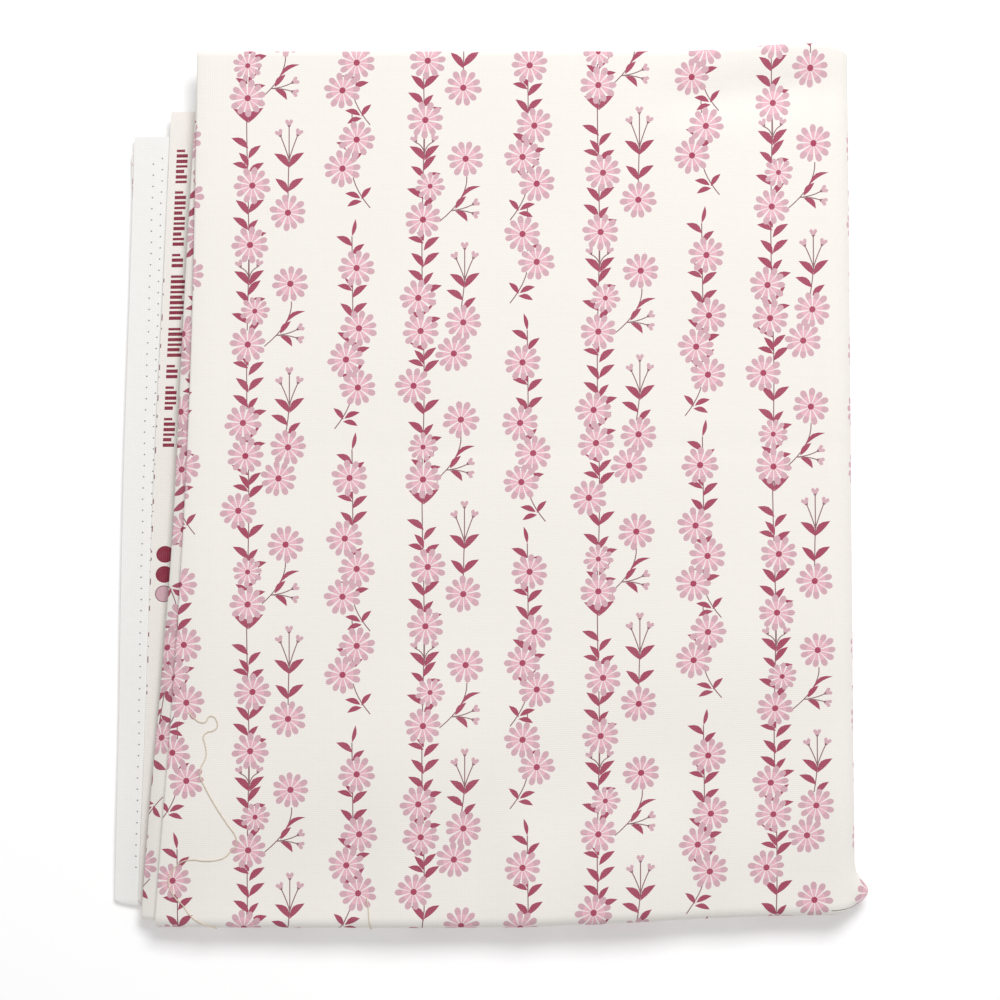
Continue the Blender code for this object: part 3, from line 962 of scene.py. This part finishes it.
def woven_cotton(name, fibre, inked):
    """Plain-woven quilting cotton, bleached, with pigment ink rolled on to its face.

    The yarns cross at right angles and carry thick and thin places. Ink sits on the
    crowns of the yarns, so a printed part is a little paler where they dip; an unprinted
    part is painted a little darker there, as painted shade. Real yarns lie 0.35 mm
    apart, which is too fine to show, so they are drawn at the weave pitch.
    """
    material, shader = new_material(name)
    cloth_map = add_node(material, "ShaderNodeUVMap", {}, uv_map="Cloth").outputs["UV"]
    yarns = []
    for direction in ("X", "Y"):
        wave = add_node(material, "ShaderNodeTexWave", {
            "Vector": cloth_map, "Scale": 0.314 / cloth().weave_pitch, "Distortion": 1.6,
            "Detail": 1.0, "Detail Scale": 0.6,
        }, wave_type="BANDS", bands_direction=direction, wave_profile="SIN")
        yarns.append(wave.outputs["Fac"])
    crossing = add_node(material, "ShaderNodeMath", {0: yarns[0], 1: yarns[1]}, operation="MULTIPLY")
    slubs = add_node(material, "ShaderNodeTexNoise", {
        "Vector": cloth_map, "Scale": 260.0, "Detail": 2.0, "Roughness": 0.6,
    })
    cloud = add_node(material, "ShaderNodeTexNoise", {
        "Vector": cloth_map, "Scale": 22.0, "Detail": 3.0,
    })
    relief = add_node(material, "ShaderNodeMath", {
        0: crossing.outputs[0], 1: slubs.outputs["Fac"],
    }, operation="ADD")
    pale = tuple(1 - (1 - part) * 0.72 for part in fibre)
    deep = tuple(part * (0.93 if inked else 0.968) for part in fibre)
    # Unprinted cloth turns to deep in the weave's dips, as painted shade; printed cloth turns to pale
    # there, where the ink does not reach.
    dipped = add_node(material, "ShaderNodeMapRange", {
        "Value": relief.outputs[0], "From Min": 0.3, "From Max": 1.3,
        "To Min": 0.30 if inked else 1.0, "To Max": 0.0,
    })
    # The painted dip shade of unprinted cloth, and the paler dips of printed cloth.
    painted_dip_shade_and_ink_gaps = add_node(material, "ShaderNodeMix", {
        "Factor": dipped.outputs[0], 6: (*fibre, 1), 7: (*(pale if inked else deep), 1),
    }, data_type="RGBA")
    shade = add_node(material, "ShaderNodeMapRange", {
        "Value": cloud.outputs["Fac"], "From Min": 0.35, "From Max": 0.65,
        "To Min": 0.0, "To Max": 0.35,
    })
    tinted = add_node(material, "ShaderNodeMix", {
        "Factor": shade.outputs[0], 6: painted_dip_shade_and_ink_gaps.outputs[2], 7: (*deep, 1),
    }, data_type="RGBA")
    bump = add_node(material, "ShaderNodeBump", {
        "Strength": 0.32, "Distance": 0.00022, "Height": relief.outputs[0],
    })
    plug(material, shader, {
        "Base Color": tinted.outputs[2], "Normal": bump.outputs["Normal"], "Roughness": 0.86,
        "Specular IOR Level": 0.25, "Sheen Weight": 0.12, "Sheen Roughness": 0.5,
    })
    return material


@functools.cache
def finishes():
    """The cloth's ground, inks and wrong side, in slot order."""
    inks = bpy.context.scene.folded_colours
    rows = (
        ("bleached_cotton_ground", inks.ground, False), ("pigment_petal_pink", inks.petal, True),
        ("pigment_dusty_pink", inks.petal_tip, True), ("pigment_burgundy", inks.centre, True),
        ("pigment_leaf_wine", inks.leaf, True), ("pigment_stem_mauve", inks.stem, True),
        ("pigment_selvedge_burgundy", inks.selvedge, True),
        ("bleached_cotton_wrong_side", inks.wrong_side, False),
        ("pin_hole_shadow", inks.pin_hole, False),
    )
    return [woven_cotton(name, tuple(fibre), inked) for name, fibre, inked in rows]


def spun_thread():
    """Undyed spun cotton thread: two plies twisted together, painted darker along the twist's grooves as
    painted shade, with a soft dull shine.
    """
    material, shader = new_material("spun_cotton_thread")
    fibre = tuple(bpy.context.scene.folded_colours.thread)
    deep = tuple(part * 0.86 for part in fibre)
    place = add_node(material, "ShaderNodeTexCoord", {}).outputs["Object"]
    twist = add_node(material, "ShaderNodeTexWave", {
        "Vector": place, "Scale": 520.0, "Distortion": 1.5,
    }, wave_type="BANDS", bands_direction="DIAGONAL")
    # The twist's grooves are painted darker, as painted shade.
    painted_twist_shade = add_node(material, "ShaderNodeMix", {
        "Factor": twist.outputs["Fac"], 6: (*deep, 1), 7: (*fibre, 1),
    }, data_type="RGBA")
    bump = add_node(material, "ShaderNodeBump", {
        "Strength": 0.3, "Distance": 0.0001, "Height": twist.outputs["Fac"],
    })
    plug(material, shader, {
        "Base Color": painted_twist_shade.outputs[2], "Normal": bump.outputs["Normal"], "Roughness": 0.7,
    })
    return material


# ------------------------------------------------------------------------ the operators


def declare(piece, body, nodes):
    """Hang a finished sheet on its body and hide the frame's nodes that it stands for."""
    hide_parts(*nodes)
    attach(piece, body)


class FOLDED_OT_upper_passes(bpy.types.Operator):
    """Add the upper half of the book: four passes of doubled cloth"""

    bl_idname = "folded.upper_passes"
    bl_label = "Upper passes"

    def execute(self, context):
        folds = Folds()
        surface, to_cloth, from_cloth = leaf_surface(folds)
        bend = math.pi * folds.pitch / 4
        c_hard = np.linspace(-bend, bend, 9)
        side = spaced(bend, bend + LEAF_SPAN, GRID_STEP)
        c_grid = np.concatenate([-side[::-1], c_hard[1:-1], side])
        rows = (
            (folds.fold_end, folds.crease_end, ("upper_north_fold", "upper_south_fold_outer")),
            (folds.crease_end, folds.turn_end, ("upper_south_fold_inner",)),
            (folds.turn_end, folds.third_end, ()),
            (folds.last_end, folds.fold_end, ()),
        )
        for number, (v0, v1, turned_parts) in enumerate(rows, 1):
            v_hard, v_grid = arc_lines(folds, v0, v1)
            seen_to = c_grid[-1] if number in (1, 4) else 0.030
            shapes = printed(from_cloth, (-0.012, seen_to), (v0, v1))
            grids = (c_grid, v_grid, c_hard, v_hard)
            piece = cloth_mesh(f"upper_pass_{number}", surface, to_cloth, grids, shapes, False)
            nodes = (f"upper_leaf_{number}", *turned_parts)
            declare(piece, "upper_half", nodes)
        return {"FINISHED"}


class FOLDED_OT_lower_plies(bpy.types.Operator):
    """Add the lower half of the book: eight plies whose left edges are open"""

    bl_idname = "folded.lower_plies"
    bl_label = "Lower plies"

    def execute(self, context):
        folds = Folds()
        ends = [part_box(f"lower_ply_{number}")[1].y for number in range(1, 2 * PASSES + 1)]
        last, third = folds.last_pass_end, folds.third_pass_end
        rows = (
            (8, 1, last(ends[0]), folds.fold_start, ("lower_south_fold_outer",)),
            (7, -1, last(ends[1]), folds.fold_start, ()),
            (3, -1, folds.turn_start, third(ends[2]), ("lower_south_fold_inner",)),
            (4, 1, folds.turn_start, third(ends[3]), ()),
            (5, 1, folds.crease_end, folds.turn_start, ()),
            (6, -1, folds.crease_end, folds.turn_start, ()),
            (7, -1, folds.fold_start, folds.crease_end, ()),
            (8, 1, folds.fold_start, folds.crease_end, ("lower_north_fold",)),
        )
        for number, (far, side, v0, v1, turned_parts) in enumerate(rows, 1):
            surface, to_cloth, from_cloth = ply_surface(folds, number, far, side)
            v_hard, v_grid = arc_lines(folds, v0, v1)
            grids = (spaced(0, LEAF_SPAN, GRID_STEP), v_grid, [], v_hard)
            seen_to = LEAF_SPAN if number in (1, 8) else 0.034
            shapes = printed(from_cloth, (0, seen_to), (v0, v1))
            if number <= 2:
                shapes = [shape for shape in shapes if shape[0][:, 0].min() > SELVEDGE_MARGIN]
            back_shapes = []
            if number == 2:
                back_shapes = self.marks(folds, number)
            else:
                shapes += self.marks(folds, number)
            name = f"lower_cloth_{number}"
            flip = self.faces_down(surface, folds, v0, v1, side)
            piece = cloth_mesh(name, surface, to_cloth, grids, shapes, flip, back_shapes)
            nodes = (f"lower_ply_{number}", *turned_parts)
            declare(piece, "lower_half", nodes)
        return {"FINISHED"}

    @staticmethod
    def faces_down(surface, folds, v0, v1, side):
        """True where the printed face lies against the surface's own normal."""
        v = np.array([(v0 + v1) / 2])
        normal = normals(surface, np.array([[LEAF_SPAN / 2, v[0]]]))[0]
        _, _, ny, nd = folds.along(v, "lower")
        return normal[1] * ny[0] * side + normal[2] * nd[0] * side < 0

    @staticmethod
    def marks(folds, number):
        """A ply's own marks, given by X from the selvedge and Y, placed on its pass."""
        draw = {1: selvedge_marks, 2: pin_holes, 3: edge_flower}.get(number)
        if draw is None:
            return []
        south = folds.south["lower"]
        # The last pass runs the other way, so there v falls as Y rises.
        start, way = (folds.turn_end - south, 1) if number == 3 else (folds.fold_end + south, -1)
        return [
            (np.stack([points[:, 0], start / MM + way * points[:, 1]], axis=1)[::way], ink, layer)
            for points, ink, layer in draw()
        ]


TIGHTEST_TURN = 0.3 * MM  # least radius taken for the innermost turn


class FOLDED_OT_spine(bpy.types.Operator):
    """Add the four nested turns at the spine and their rounded south ends"""

    bl_idname = "folded.spine"
    bl_label = "Spine"

    def execute(self, context):
        folds = Folds()
        span = math.pi * STACK / 2
        c_grid = np.linspace(0, span, 21)
        cuts = np.linspace(folds.fold_end, folds.fold_start, 6)
        rows = [
            ("turn_1", folds.fold_start, folds.crease_end), ("turn_2", folds.crease_end, folds.turn_end),
            ("turn_3", folds.turn_end, folds.third_end), ("turn_4", folds.last_end, folds.fold_end),
        ]
        rows += [(f"corner_{k + 1}", a, b) for k, (a, b) in enumerate(zip(cuts, cuts[1:]))]
        for name, v0, v1 in rows:
            is_turn = name.startswith("turn")
            number = int(name[-1]) if is_turn else 1
            v_hard, v_grid = arc_lines(folds, v0, v1)
            grids = (c_grid, v_grid, c_grid, v_hard)
            depths = folds.along(np.array([v0, v1, (v0 + v1) / 2]), "upper")[1]
            inside = STACK / 2 - depths.max() - folds.pitch / 2 - cloth().thickness
            radius = max(inside, TIGHTEST_TURN)
            start, end = [(SPINE_X, 0, STACK / 2 + way * radius) for way in (-1, 1)]
            for side, layer in ((1, "outer"), (-1, "inner")):
                surface, to_cloth, from_cloth = spine_surface(folds, side)
                shapes = []
                if number == 1 and side == 1:
                    shapes = printed(from_cloth, (0, span), (v0, v1))
                full_name = f"spine_{name}_{layer}"
                piece = cloth_mesh(full_name, surface, to_cloth, grids, shapes, side < 0)
                piece["pass"] = number
                if is_turn and side == 1:
                    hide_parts(f"spine_fold_{number}")
                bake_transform(piece)
                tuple(start)
                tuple(end)
        return {"FINISHED"}


THREAD_GAP = 0.05 * MM  # between a thread and the cloth it lies on
PANEL_WIDTH = 0.2761
THREAD_CORNER = (SPINE_X - PANEL_WIDTH, SOUTH["upper"])
FLAT_END = SOUTH["upper"] + OUTER_RADIUS  # Y where the top panel's flat part ends

# The threads' routes: millimetres east and north of the corner on the top panel, and
# millimetres east and degrees up the front of the south fold.
LONG_THREAD = (
    (5.7, 91.9), (8.4, 89.2), (11.1, 87.6), (13.2, 87.8), (14.6, 90.0), (16.5, 90.1),
    (17.9, 88.1), (18.1, 85.7), (16.5, 84.2), (13.8, 83.4), (12.2, 81.7), (12.7, 79.2),
    (13.4, 75.8), (13.2, 72.8), (11.1, 68.2), (10.8, 65.0), (13.0, 60.1), (17.0, 52.8),
    (22.1, 44.8), (25.9, 38.8), (25.9, 35.5), (23.4, 32.7), (21.1, 30.5), (18.5, 29.5),
    (12.6, 29.0), (7.5, 29.5), (3.4, 28.7), (0.6, 26.7), (-1.4, 24.4), (-3.0, 20.5),
    (-1.9, 16.2), (0.6, 12.6), (3.2, 10.1), (5.0, 7.5), (7.5, 4.7), (11.3, 2.4),
)
LONG_THREAD_FRONT = ((15.2, 35), (17.5, 14))
SHORT_THREAD = ((81.0, 13.5), (81.6, 10.5), (81.9, 7.4), (82.0, 5.3))
SHORT_THREAD_FRONT = ((82.2, 67), (82.5, 45), (82.7, 22), (82.9, 0))
# Below the fold's middle it hangs free, by millimetres east and height.
SHORT_THREAD_TAIL = ((83.1, 12.0), (83.4, 8.0), (83.2, 4.0), (83.0, 1.3))


def on_top(right, north):
    """A thread point on the top panel, or where the panel rounds into the south fold."""
    radius = OUTER_RADIUS + cloth().thread_diameter / 2 + THREAD_GAP
    y = THREAD_CORNER[1] + north * MM
    rise = math.sqrt(radius ** 2 - max(0.0, FLAT_END - y) ** 2)
    return (THREAD_CORNER[0] + right * MM, y, STACK - OUTER_RADIUS + rise)


def on_front(right, degrees):
    """A thread point on the south fold, by its angle above the fold's middle."""
    radius = OUTER_RADIUS + cloth().thread_diameter / 2 + THREAD_GAP
    angle = math.radians(degrees)
    y = FLAT_END - radius * math.cos(angle)
    return (THREAD_CORNER[0] + right * MM, y, STACK - OUTER_RADIUS + radius * math.sin(angle))


def hanging(right, height):
    """A thread point that hangs straight below the south fold's middle."""
    x, y, _ = on_front(right, 0)
    return (x, y, height * MM)


class FOLDED_OT_threads(bpy.types.Operator):
    """Add the two loose threads on the top panel and its south fold"""

    bl_idname = "folded.threads"
    bl_label = "Loose threads"

    def execute(self, context):
        material = spun_thread()
        long_route = [on_top(*point) for point in LONG_THREAD]
        long_route += [on_front(*point) for point in LONG_THREAD_FRONT]
        short_route = [on_top(*point) for point in SHORT_THREAD]
        short_route += [on_front(*point) for point in SHORT_THREAD_FRONT]
        short_route += [hanging(*point) for point in SHORT_THREAD_TAIL]
        for name, route in (("loose_thread_long", long_route), ("loose_thread_short", short_route)):
            self.add_thread(f"{name}_cotton", name, settle(np.array(route)), material)
        return {"FINISHED"}

    @staticmethod
    def add_thread(name, node, route, material):
        """Draw one thread as a round curve through its route."""
        data = bpy.data.curves.new(name, "CURVE")
        data.dimensions = "3D"
        data.bevel_depth = cloth().thread_diameter / 2
        data.bevel_resolution = 2
        data.use_fill_caps = True
        data.resolution_u = 4
        spline = data.splines.new("BEZIER")
        spline.bezier_points.add(len(route) - 1)
        for knot, place in zip(spline.bezier_points, route):
            knot.co = place
            knot.handle_left_type = knot.handle_right_type = "AUTO"
        data.materials.append(material)
        thread = bpy.data.objects.new(name, data)
        bpy.context.scene.collection.objects.link(thread)
        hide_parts(node)
        tuple(route[0])
        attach(thread, "upper_half")


class FOLDED_OT_stage(bpy.types.Operator):
    """Add the pale floor, the soft light from the north and the camera overhead"""

    bl_idname = "folded.stage"
    bl_label = "Stage"

    def execute(self, context):
        settings = context.scene.folded_stage
        bpy.ops.mesh.primitive_plane_add(size=12, location=(0, 0, 0))
        floor = context.object
        floor.name = "pale_floor"
        paper, shader = new_material("white_card")
        plug(paper, shader, {
            "Base Color": (0.96, 0.96, 0.96, 1), "Roughness": 0.9, "Specular IOR Level": 0.1,
            "Emission Color": (1, 1, 1, 1), "Emission Strength": 0.17,
        })
        floor.data.materials.append(paper)
        floor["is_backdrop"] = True
        world = bpy.data.worlds.new("even_light")
        world.use_nodes = True
        background = world.node_tree.nodes["Background"]
        background.inputs["Color"].default_value = (1, 1, 1, 1)
        background.inputs["Strength"].default_value = settings.sky
        context.scene.world = world
        self.add_softbox("north_softbox", (0.28, 0.78, 1.35), 0.6, settings.key_power)
        self.add_camera(context, settings)
        context.scene.view_settings.view_transform = "Standard"
        return {"FINISHED"}

    @staticmethod
    def add_softbox(name, place, size, power):
        """Add a square area light that faces the pack."""
        data = bpy.data.lights.new(name, "AREA")
        data.size = size
        data.energy = power
        lamp = bpy.data.objects.new(name, data)
        lamp.location = place
        lamp.rotation_euler = Vector(place).to_track_quat("Z", "Y").to_euler()
        bpy.context.scene.collection.objects.link(lamp)

    @staticmethod
    def add_camera(context, settings):
        """Add the camera straight above the pack, square to it."""
        data = bpy.data.cameras.new("overhead")
        data.sensor_width = 36
        data.lens = data.sensor_width * settings.camera_height / settings.field
        data.clip_end = 50
        camera = bpy.data.objects.new("overhead", data)
        camera.location = (-0.0055, -0.0042, STACK + settings.camera_height)
        context.scene.collection.objects.link(camera)
        context.scene.camera = camera


class FOLDED_PT_panel(bpy.types.Panel):
    """Lists the steps that build the folded cloth"""

    bl_idname = "FOLDED_PT_panel"
    bl_label = "Folded cotton"
    bl_space_type = "VIEW_3D"
    bl_region_type = "UI"
    bl_category = "Folded cotton"

    def draw(self, context):
        for operator in OPERATORS:
            self.layout.operator(operator.bl_idname)


OPERATORS = (
    FOLDED_OT_stage, FOLDED_OT_threads, FOLDED_OT_spine, FOLDED_OT_upper_passes,
    FOLDED_OT_lower_plies,
)
GROUPS = {
    "folded_cloth": FOLDED_PG_cloth, "folded_print": FOLDED_PG_print,
    "folded_colours": FOLDED_PG_colours, "folded_stage": FOLDED_PG_stage,
}


def register():
    for item in (*GROUPS.values(), *OPERATORS, FOLDED_PT_panel):
        bpy.utils.register_class(item)
    for name, group in GROUPS.items():
        setattr(bpy.types.Scene, name, PointerProperty(type=group))


def unregister():
    for name in GROUPS:
        delattr(bpy.types.Scene, name)
    for item in reversed((*GROUPS.values(), *OPERATORS, FOLDED_PT_panel)):
        bpy.utils.unregister_class(item)


def main():
    """Build the finished cloth and measure its bounds beside the frame's."""
    register()
    bpy.ops.object.select_all(action="DESELECT")
    bpy.ops.folded.stage()
    bpy.ops.folded.threads()
    bpy.ops.folded.spine()
    bpy.ops.folded.upper_passes()
    bpy.ops.folded.lower_plies()
    boxes = {"cad": CAD_BOX, "visual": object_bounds()}
    {key: [list(corner) for corner in box] for key, box in boxes.items()}


if __name__ == "__main__":
    main()
